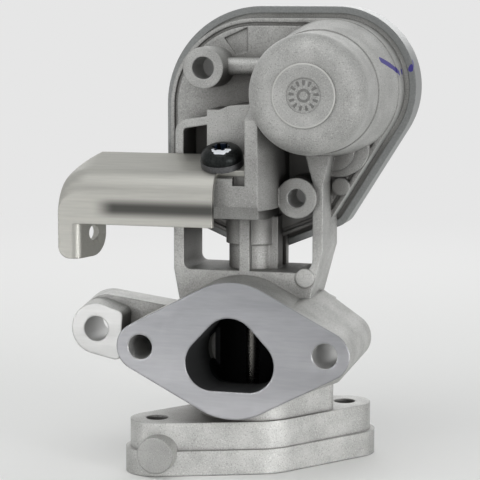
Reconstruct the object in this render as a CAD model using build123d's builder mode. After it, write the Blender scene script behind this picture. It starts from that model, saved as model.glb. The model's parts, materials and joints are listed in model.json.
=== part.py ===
from build123d import *
from math import acos, atan2, cos, degrees, hypot, pi, radians, sin, sqrt, tan
import os

# An electric exhaust gas recirculation valve, in millimetres.
# The origin lies on the foot's lower face, on the axis of the valve stem. +Z runs up the stem,
# -Y points out of the gas inlet flange, and +X is to the right seen from that side.

# Fits and clearances
RUN = 0.05             # radial, a shaft turning or sliding in its bore
PRESS = 0.0            # radial, a pressed or bonded piece meets its seat face to face
SLACK = 0.3            # between pieces that must not touch
THREAD = 0.05          # radial, a screw in its tapped hole

# Foot: the lower flange, with its long axis turned about the stem
FOOT_TURN = 36.5
FOOT_PCD = 74.0
FOOT_HOLE_R = 4.0
FOOT_H = 19.0
FOOT_STEP = 9.0        # height of the wider lower layer
FOOT_MID_R = 20.6
FOOT_END_R = 9.6
FOOT_LEDGE = 1.7       # how far the lower layer stands out at its ends

# Inlet: the front flange and its port
INLET_Y = -30.0
INLET_Z = 46.1
INLET_T = 20.0
INLET_SPACING = 66.9
INLET_HOLE_R = 4.45
INLET_END_R = 8.8
INLET_MID_R = 24.4
LOBE_T = 13.0          # bolt lobes behind the flange
LOBE_R = 8.3
LOBE_MID_R = 20.4
PORT_TOP_R = 10.0
PORT_TOP_Z = 47.8
PORT_LOW_R = 9.7
PORT_LOW_Z = 41.3
PORT_LOW_X = 6.4       # half spacing of the two lower rounds
PORT_END_Y = 4.0

# Body between the flanges
BODY_L = -24.0
BODY_R = 28.4
BODY_Y = 12.0
NECK_X = 23.8          # waist below the right leg
NECK_Z = 62.0
BODY_LOW = 50.0        # lower end of the square-sided part, behind the flange
BODY_CORNER_R = 4.0
# Rounds that bound the casting's right side, at the flange and at its rear: x, z, radius
RIGHT_FRONT = ((33.4, 46.1, 8.8), (20.6, 59.4, 3.0), (20.6, 32.8, 3.0))
RIGHT_REAR = ((34.9, 47.4, 8.5), (24.9, 61.0, 3.0), (29.6, 32.6, 3.0))
INLET_LIP = 4.0        # edge of the flange that stays straight
FLOOR_Z = 72.0         # floor of the two windows
CORNER = 5.0           # rounding of the windows' lower outer corners
BARREL_R = 19.6
CHAMBER_R = 14.0
CHAMBER_TOP = 58.0
SHOULDER_Z = 60.0
GUIDE_R = 4.6          # bore that holds the stem guide

# Valve, seat, stem
STEM_R = 2.4
STEM_IN_YOKE = 5.6
SEAT_R = 15.5
SEAT_T = 5.5
SEAT_TOP = 24.0
SEAT_THROAT_R = 12.0
SEAT_CONE = 1.6        # width of the conical sealing face
HEAD_T = 3.6
HEAD_GAP = 0.05
HEAD_DISH = (2.5, 2.6)     # width and height of the head's dished back
HEAD_HUB = (0.6, 5.0)      # wall and height of its hub
GUIDE_BOTTOM = 60.0
GUIDE_TOP = 80.0
SEAL_R = 5.8
SEAL_H = 3.6
STROKE_HALF_ANGLE = 23.0
CRANK_R = 9.0

# Post, spring chamber and yoke tower
POST_R = 8.5
POST_RIB_W = 3.7
POST_PLATE_L = -11.0
POST_PLATE_R = 10.5
POST_PLATE_T = 4.0
SPRING_FLOOR = 84.0
SPRING_WIRE = 1.3
SPRING_MID_R = 4.75
SPRING_TURNS = 4.5
SPRING_BORE_R = 6.8
SPRING_TUBE_R = 9.6
CAP_T = 1.5
YOKE_FOOT = 9.5        # yoke's lower face below its slot's axis
YOKE_H = 15.5
YOKE_HALF_X = 6.0
YOKE_HALF_Y = 4.0
YOKE_GAP = 0.8
TOWER_L = -8.6
TOWER_R = 9.0
TOWER_Y = -14.0
TOWER_BOTTOM = 91.0
TOWER_TOP = 129.5
TOWER_WING_L = -13.2   # left edge of the tower's upper wall
TOWER_WING_LOW = 104.0
FLANK_R = 13.0         # right side of the tower, further back
FLANK_LOW = 95.5
FLANK_TOP = 126.0

# Legs beside the windows
LEG_L = -26.2
LEG_R = 28.6
LEG_T = 3.7
LEG_WAIST = 104.0      # from here up the right leg leans towards the can
LEG_HEAD = (-7.0, 4.0, 2.0)   # its head: left and right of the can's axis, depth into the can
ARCH_T = 3.0           # band that runs over from the left leg to the tower
ARCH_PATH = ((-23.4, 106.0), (-23.4, 124.0), (-13.4, 125.6), (-5.0, 129.5), (7.0, 130.4))
ARCH_BEND = 3.0
SHOULDER_PAD = (22.2, 70.3, 3.4, 0.6)

# Screw boss on the tower and the bracket it clamps
BOSS_Y = -28.5
BOSS_L = -7.6
RIB_W = 4.6
RIB_TOP = 127.0
RIB_RISE = 10.0        # how much higher the rib ends at the tower than at its front
NOTCH = (0.0, 2.4, 3.0)    # left edge, height and depth of the notch under the tongue
BOSS_TOP = 109.0        # bracket seat's height on the screw's axis
TILT = 20.0            # forward tilt of the bracket's seat
SCREW_X = -5.0
SCREW_Y = -22.0
SCREW_R = 2.95
SCREW_LEN = 18.0
SCREW_HEAD_R = 7.4
SCREW_DOME = 3.7
SCREW_HEAD_H = 4.6
WASHER_R = 7.6
WASHER_T = 2.2
SHEET = 2.2
BRACKET_L = -62.0
BRACKET_R = -5.5
BRACKET_DROP = 8.0
BRACKET_BEND = 8.0
BRACKET_CUT = (11.0, 17.0)   # rear left corner, cut away along x and y
LUG_W = 16.0
LUG_DROP = 12.5
LUG_HOLE_R = 2.75
LUG_TURN = 17.0
STRIP_W = 6.6

# Side ear
EAR_X = -55.0
EAR_Z = 49.0
EAR_Y = -15.0
EAR_END = 6.0
EAR_R = 9.4
EAR_HOLE_R = 4.6
EAR_DRAFT = 6.0
EAR_CORNERS = ((-47.0, 54.0), (-48.0, 39.9))   # ends of the ear's flat right side
EAR_CORNER_R = 2.0
ARM_Y = -7.0
ARM_SHIFT = (1.5, 2.0)   # the arm's round end stands this far inward and up from the hole

# Gear housing: its rim is a rounded five-sided outline
RIM_LEFT = -35.6
RIM_TOP = 165.6
RIM_LOW = (0.8, 74.4)
RIM_LOW_RIGHT = (31.4, 86.9)
RIM_LOW_LEFT = (-35.6, 90.2)
RIM_FAR_RIGHT = (80.2, 165.6)
RIM_LOW_FILLET = 12.0
RIM_SIDE_FILLET = 6.0
RIM_MOTOR_FILLET = 29.0
RIM_GEAR_FILLET = 36.0
RIM_FRONT = 12.0
RIM_BACK = 24.0
CRIMP_T = 1.1
CRIMP_LIP = 2.5
FLANGE_BACK = 18.0     # split plane between casting and cover
WALL_FRONT = 2.0
WALL_T = 3.0
BULGE_IN = 4.2         # front wall's step in from the rim
GROOVE_IN = 1.4        # groove along the front wall's edge
GROOVE_W = 1.2
GROOVE_DEPTH = 1.0
POCKET = ((-11.2, 154.3), (-2.5, 158.2), (-2.5, 149.6), (-6.9, 148.4))
POCKET_DEPTH = 0.8
# Round pads on the wall below the can: x, z, radius, front
WALL_PADS = ((31.5, 116.5, 11.1, -1.0), (30.0, 115.7, 8.0, -3.0), (32.3, 101.9, 3.2, 0.0))
WEB_L = -10.0          # rounded web from the upper boss to the can
WEB_R = 12.0
WEB_Z = 144.4
WEB_H = 6.2
WEB_Y = -7.0
SEAL_IN = 3.0
SEAL_W = 2.4
SEAL_DEPTH = 1.6

# Round bosses on the front wall: x, z, outer radius, hole radius
UPPER_BOSS = (-14.6, 144.2, 7.4, 4.0)
LOWER_BOSS = (19.5, 98.9, 7.2, 3.35)
BOSS_FRONT = -14.0
BOSS_HOLE_END = 0.0

# Flat round pad on the foot's front edge
PAD_X = -26.4
PAD_Z = 8.4
PAD_R = 6.6
PAD_Y = -36.0
PAD_T = 9.0

# Motor and its can
MOTOR_X = 28.0
MOTOR_Z = 136.6
CAN_R = 20.6
CAN_FRONT = -40.0
CAN_WALL = 2.6
CAN_EDGE = 7.5
CAN_DRAFT = 1.5
CAN_BASE_R = 24.6      # cone that the can stands on
CAN_BASE_Y = -18.0
CAN_BASE_DRAFT = 8.5
CAN_RING_R = 11.0
CAN_RING_H = 0.9
CAN_DIMPLE_R = 6.0
CAN_DIMPLE_H = 0.5
CASE_R = 16.8
CASE_T = 1.2
CASE_BACK = 3.0
CASE_FRONT = -35.5
AXLE_R = 1.6
WAVE_R = 12.0
END_PLATE_T = 3.6
EAR_T = 1.6             # end plate's screw ears, on the housing wall
END_SCREW_OUT = 2.2    # how far outside the case the end plate's screws stand
END_SCREW_TURN = 120.0
END_SCREW_R = 1.25
END_SCREW_HEAD_R = 2.2
END_SCREW_HEAD_H = 1.4
END_SCREW_LEN = 8.5
END_EAR_R = 2.5
AIR_GAP = 1.3          # between the magnets and the rotor's wound pack
PACK_FRONT = -27.0
PACK_BACK = -7.0
COLLECTOR_R = 5.0
COLLECTOR_T = 5.0
AXLE_FRONT = -34.0
AXLE_BACK = 21.5
BUSH_R = 4.0
BUSH_T = 4.0
BUSH_BACK = 5.0
MAGNET_ARC_T = 3.0
MAGNET_ARC_L = 26.0
MAGNET_ARC_GAP = 14.0
BRUSH_AT = 8.0         # brush centre's radius
BRUSH = (5.6, 3.5, 4.5)
BLADE_AT = 13.0        # terminal blades' radius
BLADE = (0.8, 4.0)
BLADE_BACK = 20.0

# Gears
GEAR_X = -10.0         # output gear's axis
GEAR_Z = 106.0
FINE = 0.8             # module, motor stage
COARSE = 1.0           # module, output stage
PINION_TEETH = 12
IDLER_BIG = 40
IDLER_SMALL = 13
GEAR_TEETH = 60
PRESSURE = 25.0
BACKLASH = 0.16
GEAR_FRONT = 8.0
GEAR_T = 6.0
IDLER_WEB = 15.4
IDLER_T = 4.6
SECTOR_MARGIN = 9.0
PIN_R = 2.5
IDLER_PIN_R = 2.0
PIN_BACK = 23.0        # free end of the output gear's pin
IDLER_PIN_BACK = 25.0
HUB_R = 6.2
CRANK_WALL = 1.9       # wall round the crank pin
GEAR_WINDOW_AT = 16.5  # radius of the lightening window's middle
GEAR_WINDOW = (14.0, 8.0)
SENSOR_R = 6.0
SENSOR_T = 2.5
BOARD_Y = 26.0
BOARD_T = 1.6
BOARD_W = 26.0
BOARD_H = 24.0
CRANK_PIN_R = 1.5
ROLLER_R = 3.0
ROLLER_T = 6.6
SLOT_GAP = 0.07

# Rear cover
COVER_BACK = 42.0
COVER_WALL = 2.4
COVER_IN = 6.0
SOCKET_X = -6.0
SOCKET_Z = 143.0
SOCKET_W = 21.0
SOCKET_H = 11.0
SOCKET_END = 56.0
SOCKET_WALL = 1.6
PIN_COUNT = 5
PIN_PITCH = 3.0
PIN_W = 0.9
PIN_END = 50.0
STEADY_R = 4.6         # bosses inside the cover that steady the gear pins
IDLER_STEADY_R = 4.2
POST_INSIDE_R = 1.8    # sensor board's posts

# Derived values
STROKE = 2 * CRANK_R * sin(radians(STROKE_HALF_ANGLE))
CRANK_X = GEAR_X + CRANK_R * cos(radians(STROKE_HALF_ANGLE))
CRANK_Z = GEAR_Z + CRANK_R * sin(radians(STROKE_HALF_ANGLE))
FINE_REACH = FINE * (PINION_TEETH + IDLER_BIG) / 2
COARSE_REACH = COARSE * (IDLER_SMALL + GEAR_TEETH) / 2
SPAN_X = MOTOR_X - GEAR_X
SPAN_Z = MOTOR_Z - GEAR_Z
YOKE_Z = CRANK_Z - YOKE_FOOT
STEM_TOP = YOKE_Z + STEM_IN_YOKE
END_SCREW_AT = CASE_R + END_SCREW_OUT
PACK_R = CASE_R - CASE_T - MAGNET_ARC_T - AIR_GAP
SPAN = hypot(SPAN_X, SPAN_Z)
ALONG = (COARSE_REACH**2 - FINE_REACH**2 + SPAN**2) / (2 * SPAN)
ASIDE = sqrt(COARSE_REACH**2 - ALONG**2)
IDLER_X = GEAR_X + (ALONG * SPAN_X - ASIDE * SPAN_Z) / SPAN
IDLER_Z = GEAR_Z + (ALONG * SPAN_Z + ASIDE * SPAN_X) / SPAN
TO_IDLER = degrees(atan2(IDLER_Z - GEAR_Z, IDLER_X - GEAR_X))
TO_MOTOR = degrees(atan2(MOTOR_Z - IDLER_Z, MOTOR_X - IDLER_X))
FOOT_X = FOOT_PCD / 2 * cos(radians(FOOT_TURN))
FOOT_Y = FOOT_PCD / 2 * sin(radians(FOOT_TURN))
SEAT_CLOSED_Z = SEAT_TOP - SEAT_T
HEAD_Z = SEAT_CLOSED_Z - HEAD_GAP


def facing(y):
    """Sketch plane at depth y that looks back along +Y: local x is X and local y is Z."""
    return Plane(origin=(0, y, 0), x_dir=(1, 0, 0), z_dir=(0, -1, 0))


def sketch_rim(inset):
    """The gear housing's outline, drawn inset from the rim, in the current sketch."""
    corners = (RIM_LOW, RIM_LOW_RIGHT, RIM_FAR_RIGHT, (RIM_LEFT, RIM_TOP), RIM_LOW_LEFT)
    radii = (RIM_LOW_FILLET, RIM_SIDE_FILLET, RIM_MOTOR_FILLET, RIM_GEAR_FILLET, RIM_SIDE_FILLET)
    with BuildLine() as outline:
        FilletPolyline(*corners, radius=radii, close=True)
    with BuildSketch(Plane.XY, mode=Mode.PRIVATE) as rim:
        add(outline.line)
        make_face()
        if inset:
            offset(amount=-inset, kind=Kind.INTERSECTION)
    return rim.sketch


def flank(teeth, module, radius):
    """Half the angle of a tooth at a radius, on an involute from the base circle."""
    pitch = teeth * module / 2
    base = pitch * cos(radians(PRESSURE))
    roll = acos(min(1.0, base / max(radius, base)))
    start = radians(PRESSURE)
    spread = (tan(start) - start) - (tan(roll) - roll)
    return pi / (2 * teeth) - BACKLASH / (4 * pitch) + spread


def gear_outline(teeth, module, first_tooth):
    """Corner points of a spur gear about the origin, with a tooth centred on first_tooth."""
    pitch = teeth * module / 2
    root = pitch - 1.25 * module
    tip = pitch + module
    levels = [root, pitch - 0.35 * module, pitch + 0.4 * module, tip]
    points = []
    for tooth in range(teeth):
        middle = radians(first_tooth) + 2 * pi * tooth / teeth
        rise = [(r, middle - flank(teeth, module, r)) for r in levels]
        fall = [(r, middle + flank(teeth, module, r)) for r in reversed(levels)]
        points += [(r * cos(a), r * sin(a)) for r, a in rise + fall]
    return points


def sketch_gear(teeth, module, first_tooth):
    """A spur gear's face about the origin."""
    with BuildSketch(Plane.XY, mode=Mode.PRIVATE) as gear:
        with BuildLine():
            Polyline(*gear_outline(teeth, module, first_tooth), close=True)
        make_face()
    return gear.sketch


# Casting: foot, barrel, inlet flange, legs, post, tower, gear housing and motor can in one piece
with BuildPart() as casting:
    # foot
    for height, start, grow in ((FOOT_STEP, 0, FOOT_LEDGE), (FOOT_H - FOOT_STEP, FOOT_STEP, 0)):
        with BuildSketch(Plane.XY.offset(start)):
            Circle(FOOT_MID_R + grow / 2)
            with Locations((FOOT_X, FOOT_Y), (-FOOT_X, -FOOT_Y)):
                Circle(FOOT_END_R + grow)
            make_hull()
        extrude(amount=height)
    # barrel round the gas chamber, and the body up to the window floor
    with BuildSketch(Plane.XY.offset(FOOT_H)):
        Circle(BARREL_R)
        corner_y = BODY_Y - BODY_CORNER_R
        with Locations((BODY_L + BODY_CORNER_R, corner_y), (BODY_R - BODY_CORNER_R, corner_y)):
            Circle(BODY_CORNER_R)
        make_hull()
    extrude(amount=SHOULDER_Z - FOOT_H)
    with BuildSketch(facing(BODY_Y)):
        with BuildLine():
            Polyline(
                (BODY_L, BODY_LOW),
                (BODY_L, SHOULDER_Z),
                (LEG_L, FLOOR_Z),
                (LEG_R - LEG_T, FLOOR_Z),
                (NECK_X, NECK_Z),
                (BODY_R, SHOULDER_Z),
                (BODY_R, BODY_LOW),
                close=True,
            )
        make_face()
    extrude(amount=2 * BODY_Y)
    # low round pad on the right shoulder
    with BuildSketch(facing(0)):
        with Locations(SHOULDER_PAD[:2]):
            Circle(SHOULDER_PAD[2])
    extrude(amount=BODY_Y + SHOULDER_PAD[3])
    # inlet flange, then the bolt lobes behind it
    with BuildSketch(facing(INLET_Y + INLET_T)):
        with Locations((0, INLET_Z)):
            Circle(INLET_MID_R)
        with Locations((INLET_SPACING / 2, INLET_Z), (-INLET_SPACING / 2, INLET_Z)):
            Circle(INLET_END_R)
        make_hull()
    extrude(amount=INLET_T)
    with BuildSketch(facing(INLET_Y + INLET_T + LOBE_T)):
        with Locations((0, INLET_Z)):
            Circle(LOBE_MID_R)
        with Locations((-INLET_SPACING / 2, INLET_Z)):
            Circle(LOBE_R)
        make_hull()
    extrude(amount=LOBE_T)
    # right side, swept back from the flange to the wide rear lobe
    for y, rounds in ((INLET_Y + INLET_LIP, RIGHT_FRONT), (INLET_Y + INLET_T + LOBE_T, RIGHT_REAR)):
        with BuildSketch(facing(y)):
            for x, z, radius in rounds:
                with Locations((x, z)):
                    Circle(radius)
            make_hull()
    loft()
    # arm, and the side ear that tapers towards its machined front face
    with BuildSketch(facing(EAR_END)):
        with Locations((EAR_X + ARM_SHIFT[0], EAR_Z + ARM_SHIFT[1]), (BODY_L, EAR_Z - ARM_SHIFT[1])):
            Circle(EAR_R)
        make_hull()
    extrude(amount=EAR_END - ARM_Y)
    for y in (EAR_END, EAR_Y):
        swell = (y - EAR_Y) * tan(radians(EAR_DRAFT))
        with BuildSketch(facing(y)):
            with Locations((EAR_X, EAR_Z)):
                Circle(EAR_R + swell)
            with Locations(*EAR_CORNERS):
                Circle(EAR_CORNER_R + swell)
            make_hull()
    loft()
    # gear housing's flange and stepped front wall
    with BuildSketch(facing(FLANGE_BACK)):
        add(sketch_rim(CRIMP_T))
    extrude(amount=FLANGE_BACK - RIM_FRONT - CRIMP_T)
    with BuildSketch(facing(RIM_FRONT + CRIMP_T)):
        add(sketch_rim(BULGE_IN))
    extrude(amount=RIM_FRONT + CRIMP_T - WALL_FRONT)
    # groove along the wall's edge, and a shallow pocket beside the upper boss
    with BuildSketch(facing(WALL_FRONT + GROOVE_DEPTH)):
        add(sketch_rim(BULGE_IN + GROOVE_IN))
        add(sketch_rim(BULGE_IN + GROOVE_IN + GROOVE_W), mode=Mode.SUBTRACT)
    extrude(amount=GROOVE_DEPTH, mode=Mode.SUBTRACT)
    with BuildSketch(facing(WALL_FRONT + POCKET_DEPTH)):
        with BuildLine():
            Polyline(*POCKET, close=True)
        make_face()
    extrude(amount=POCKET_DEPTH, mode=Mode.SUBTRACT)
    # motor can: a cone on the wall, the drafted can, and the raised ring with its dimple
    with BuildSketch(facing(WALL_FRONT + WALL_T)):
        with Locations((MOTOR_X, MOTOR_Z)):
            Circle(CAN_BASE_R)
    extrude(amount=WALL_T)
    with BuildSketch(facing(WALL_FRONT)):
        with Locations((MOTOR_X, MOTOR_Z)):
            Circle(CAN_BASE_R)
    extrude(amount=WALL_FRONT - CAN_BASE_Y, taper=CAN_BASE_DRAFT)
    can_length = CAN_BASE_Y - CAN_FRONT
    with BuildSketch(facing(CAN_BASE_Y)):
        with Locations((MOTOR_X, MOTOR_Z)):
            Circle(CAN_R + can_length * tan(radians(CAN_DRAFT)))
    extrude(amount=can_length, taper=CAN_DRAFT)
    can_face = casting.faces().sort_by(Axis.Y)[0]
    fillet(can_face.edges(), CAN_EDGE)
    with BuildSketch(facing(CAN_FRONT)):
        with Locations((MOTOR_X, MOTOR_Z)):
            Circle(CAN_RING_R)
    extrude(amount=CAN_RING_H)
    with BuildSketch(facing(CAN_FRONT - CAN_RING_H + CAN_DIMPLE_H)):
        with Locations((MOTOR_X, MOTOR_Z)):
            Circle(CAN_DIMPLE_R)
    extrude(amount=CAN_DIMPLE_H, mode=Mode.SUBTRACT)
    # round pads below the can
    for x, z, radius, front in WALL_PADS:
        with BuildSketch(facing(WALL_FRONT + 1)):
            with Locations((x, z)):
                Circle(radius)
        extrude(amount=WALL_FRONT + 1 - front)
    # web from the upper boss to the can
    with BuildSketch(Plane(origin=(WEB_L, 0, 0), x_dir=(0, 1, 0), z_dir=(1, 0, 0))):
        with Locations(((WALL_FRONT + 1 + WEB_Y) / 2, WEB_Z)):
            RectangleRounded(WALL_FRONT + 1 - WEB_Y, WEB_H, WEB_H / 2 - 0.2)
    extrude(amount=WEB_R - WEB_L)
    # legs: thin plates from the shoulder up into the housing
    with BuildSketch(facing(BODY_Y)):
        with BuildLine():
            Polyline(
                (BODY_L, SHOULDER_Z),
                (LEG_L, FLOOR_Z),
                (LEG_L, ARCH_PATH[0][1]),
                (LEG_L + LEG_T, ARCH_PATH[0][1]),
                (LEG_L + LEG_T, FLOOR_Z - 1),
                (LEG_L + LEG_T, SHOULDER_Z),
                close=True,
            )
        make_face()
        with BuildLine():
            Polyline(
                (NECK_X - LEG_T, NECK_Z),
                (LEG_R - LEG_T, FLOOR_Z),
                (LEG_R - LEG_T, LEG_WAIST),
                (MOTOR_X + LEG_HEAD[0], MOTOR_Z - CAN_R + LEG_HEAD[2]),
                (MOTOR_X + LEG_HEAD[1], MOTOR_Z - CAN_R + LEG_HEAD[2]),
                (LEG_R, LEG_WAIST),
                (LEG_R, FLOOR_Z + 8),
                (NECK_X, NECK_Z),
                close=True,
            )
        make_face()
        # rounded lower corners of the windows
        for inner, side, size in ((LEG_L + LEG_T, 1, CORNER / 2), (LEG_R - LEG_T, -1, CORNER)):
            with BuildLine():
                Polyline((inner, FLOOR_Z + size), (inner, FLOOR_Z), (inner + side * size, FLOOR_Z))
                RadiusArc((inner + side * size, FLOOR_Z), (inner, FLOOR_Z + size), side * size)
            make_face()
    extrude(amount=2 * BODY_Y)
    # arch from the left leg over to the tower
    with BuildSketch(facing(WALL_FRONT)):
        with BuildLine():
            FilletPolyline(*ARCH_PATH, radius=ARCH_BEND)
        trace(line_width=ARCH_T)
    extrude(amount=WALL_FRONT - TOWER_Y)
    # post between the windows
    with BuildSketch(Plane.XY.offset(FLOOR_Z)):
        Circle(POST_R)
        with Locations((0, -BODY_Y / 2)):
            Rectangle(POST_RIB_W, BODY_Y)
        with Locations(((POST_PLATE_L + POST_PLATE_R) / 2, BODY_Y - POST_PLATE_T / 2)):
            Rectangle(POST_PLATE_R - POST_PLATE_L, POST_PLATE_T)
        with Locations((POST_PLATE_R - 4, -1)):
            Rectangle(8, 7)
    extrude(amount=TOWER_BOTTOM - FLOOR_Z)
    with BuildSketch(Plane.XY.offset(SPRING_FLOOR - 3)):
        Circle(SPRING_TUBE_R)
    extrude(amount=TOWER_BOTTOM - SPRING_FLOOR + 3)
    # tower that houses the yoke, with a wing on its upper left
    tower_back = WALL_FRONT + WALL_T
    for left, low in ((TOWER_L, TOWER_BOTTOM), (TOWER_WING_L, TOWER_WING_LOW)):
        with BuildSketch(facing(tower_back)):
            with Locations(((left + TOWER_R) / 2, (low + TOWER_TOP) / 2)):
                Rectangle(TOWER_R - left, TOWER_TOP - low)
        extrude(amount=tower_back - TOWER_Y)
    # screw boss on the tower's front, and the rib beside it that runs up to the can
    seat_front = BOSS_TOP + (BOSS_Y - SCREW_Y) * tan(radians(TILT))
    seat_back = BOSS_TOP + (TOWER_Y - SCREW_Y) * tan(radians(TILT))
    for left, front_top, back_top in (
        (BOSS_L, seat_front, seat_back),
        (TOWER_R - RIB_W, RIB_TOP, RIB_TOP + RIB_RISE),
    ):
        with BuildSketch(Plane(origin=(left, 0, 0), x_dir=(0, 1, 0), z_dir=(1, 0, 0))):
            with BuildLine():
                Polyline(
                    (TOWER_Y, TOWER_BOTTOM),
                    (BOSS_Y + 2.5, TOWER_BOTTOM + 1.3),
                    (BOSS_Y, TOWER_BOTTOM + 6),
                    (BOSS_Y, front_top),
                    (TOWER_Y, back_top),
                    close=True,
                )
            make_face()
        extrude(amount=TOWER_R - left)
    # the tower's right side swells towards the wall
    with BuildSketch(Plane.XY.offset(FLANK_LOW)):
        with BuildLine():
            ThreePointArc(
                (TOWER_R, BOSS_Y), ((TOWER_R + FLANK_R) / 2 + 1, (BOSS_Y + TOWER_Y) / 2), (FLANK_R, TOWER_Y)
            )
            Polyline((FLANK_R, TOWER_Y), (FLANK_R, tower_back), (TOWER_R, tower_back), (TOWER_R, BOSS_Y))
        make_face()
    extrude(amount=FLANK_TOP - FLANK_LOW)
    # round bosses on the front wall
    for x, z, radius, hole in (UPPER_BOSS, LOWER_BOSS):
        with BuildSketch(facing(WALL_FRONT + 1)):
            with Locations((x, z)):
                Circle(radius)
        extrude(amount=WALL_FRONT + 1 - BOSS_FRONT)
    # round pad on the foot's front left edge
    with BuildSketch(facing(PAD_Y + PAD_T)):
        with Locations((PAD_X, PAD_Z)):
            Circle(PAD_R)
    extrude(amount=PAD_T)

    # cavity of the gear housing, open to the rear
    with BuildSketch(facing(FLANGE_BACK)):
        add(sketch_rim(BULGE_IN + WALL_T))
    extrude(amount=FLANGE_BACK - WALL_FRONT - WALL_T, mode=Mode.SUBTRACT)
    # motor bore
    with BuildSketch(facing(FLANGE_BACK)):
        with Locations((MOTOR_X, MOTOR_Z)):
            Circle(CASE_R + RUN)
    extrude(amount=FLANGE_BACK - CAN_FRONT - CAN_WALL, mode=Mode.SUBTRACT)
    # bosses inside that hold the two gear pins
    for x, z, radius in ((GEAR_X, GEAR_Z, PIN_R), (IDLER_X, IDLER_Z, IDLER_PIN_R)):
        with BuildSketch(facing(GEAR_FRONT - 1.4)):
            with Locations((x, z)):
                Circle(radius + 1.6)
        extrude(amount=GEAR_FRONT - 1.4 - WALL_FRONT)
    # yoke chamber, spring bore and stem bore
    with BuildSketch(facing(WALL_FRONT + WALL_T + 1)):
        chamber_low = YOKE_Z - STROKE - 1.0
        chamber_top = YOKE_Z + YOKE_H + 1.5
        with Locations((0, (chamber_low + chamber_top) / 2)):
            Rectangle(2 * (YOKE_HALF_X + YOKE_GAP), chamber_top - chamber_low)
    extrude(amount=WALL_FRONT + WALL_T + 1 + YOKE_HALF_Y + YOKE_GAP, mode=Mode.SUBTRACT)
    with BuildSketch(Plane.XY.offset(SPRING_FLOOR)):
        Circle(SPRING_BORE_R)
    extrude(amount=YOKE_Z - SPRING_FLOOR, mode=Mode.SUBTRACT)
    with BuildSketch(Plane.XY.offset(CHAMBER_TOP - 1)):
        Circle(GUIDE_R)
    extrude(amount=SPRING_FLOOR - CHAMBER_TOP + 2, mode=Mode.SUBTRACT)
    with BuildSketch(Plane.XY.offset(SPRING_FLOOR - SEAL_H)):
        Circle(SEAL_R)
    extrude(amount=SEAL_H + 1, mode=Mode.SUBTRACT)
    # gas chamber, seat bore and inlet port
    with BuildSketch(Plane.XY.offset(SEAT_TOP - 1)):
        Circle(CHAMBER_R)
    extrude(amount=CHAMBER_TOP - SEAT_TOP + 1, mode=Mode.SUBTRACT)
    with BuildSketch():
        Circle(SEAT_R)
    extrude(amount=SEAT_TOP, mode=Mode.SUBTRACT)
    with BuildSketch(facing(PORT_END_Y)):
        with Locations((-0.7, PORT_TOP_Z)):
            Circle(PORT_TOP_R)
        with Locations((-0.7 - PORT_LOW_X, PORT_LOW_Z), (-0.7 + PORT_LOW_X, PORT_LOW_Z)):
            Circle(PORT_LOW_R)
        make_hull()
    extrude(amount=PORT_END_Y - INLET_Y, mode=Mode.SUBTRACT)
    # bolt holes
    with Locations((FOOT_X, FOOT_Y, FOOT_H), (-FOOT_X, -FOOT_Y, FOOT_H)):
        Hole(FOOT_HOLE_R, depth=FOOT_H)
    for x in (-INLET_SPACING / 2, INLET_SPACING / 2):
        with BuildSketch(facing(INLET_Y + INLET_T + LOBE_T)):
            with Locations((x, INLET_Z)):
                Circle(INLET_HOLE_R)
        extrude(amount=INLET_T + LOBE_T, mode=Mode.SUBTRACT)
    with BuildSketch(facing(EAR_END)):
        with Locations((EAR_X, EAR_Z)):
            Circle(EAR_HOLE_R)
    extrude(amount=EAR_END - EAR_Y, mode=Mode.SUBTRACT)
    for x, z, radius, hole in (UPPER_BOSS, LOWER_BOSS):
        with BuildSketch(facing(BOSS_HOLE_END)):
            with Locations((x, z)):
                Circle(hole)
        extrude(amount=BOSS_HOLE_END - BOSS_FRONT, mode=Mode.SUBTRACT)
    # seats of the gear pins, the end plate's screws and the bracket screw
    for x, z, radius in ((GEAR_X, GEAR_Z, PIN_R), (IDLER_X, IDLER_Z, IDLER_PIN_R)):
        with BuildSketch(facing(GEAR_FRONT)):
            with Locations((x, z)):
                Circle(radius)
        extrude(amount=GEAR_FRONT - WALL_FRONT - 1, mode=Mode.SUBTRACT)
    with BuildSketch(facing(RIM_FRONT)):
        with Locations((MOTOR_X, MOTOR_Z)):
            with PolarLocations(END_SCREW_AT, 2, start_angle=END_SCREW_TURN):
                Circle(END_SCREW_R + THREAD)
    extrude(amount=RIM_FRONT + 3, mode=Mode.SUBTRACT)
    with BuildSketch(facing(BOSS_Y + NOTCH[2])):
        with Locations(((NOTCH[0] + TOWER_R - RIB_W) / 2, seat_front)):
            Rectangle(TOWER_R - RIB_W - NOTCH[0], 2 * NOTCH[1])
    extrude(amount=NOTCH[2], mode=Mode.SUBTRACT)
    screw_down = (0, sin(radians(TILT)), -cos(radians(TILT)))
    boss_seat = Plane(origin=(SCREW_X, SCREW_Y, BOSS_TOP), x_dir=(1, 0, 0), z_dir=screw_down)
    with BuildSketch(boss_seat):
        Circle(SCREW_R + THREAD)
    extrude(amount=SCREW_LEN + 3, mode=Mode.SUBTRACT)
casting.part.label = "valve_body"

# Seat ring, pressed up against the shoulder of the gas chamber, with a conical sealing face
with BuildPart() as seat:
    with BuildSketch(Plane.XZ):
        with BuildLine():
            Polyline(
                (SEAT_THROAT_R, SEAT_TOP),
                (SEAT_R - PRESS, SEAT_TOP),
                (SEAT_R - PRESS, SEAT_CLOSED_Z),
                (SEAT_THROAT_R + SEAT_CONE, SEAT_CLOSED_Z),
                (SEAT_THROAT_R, SEAT_CLOSED_Z + SEAT_CONE),
                close=True,
            )
        make_face()
    revolve(axis=Axis.Z)
seat.part.label = "seat_ring"

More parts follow.
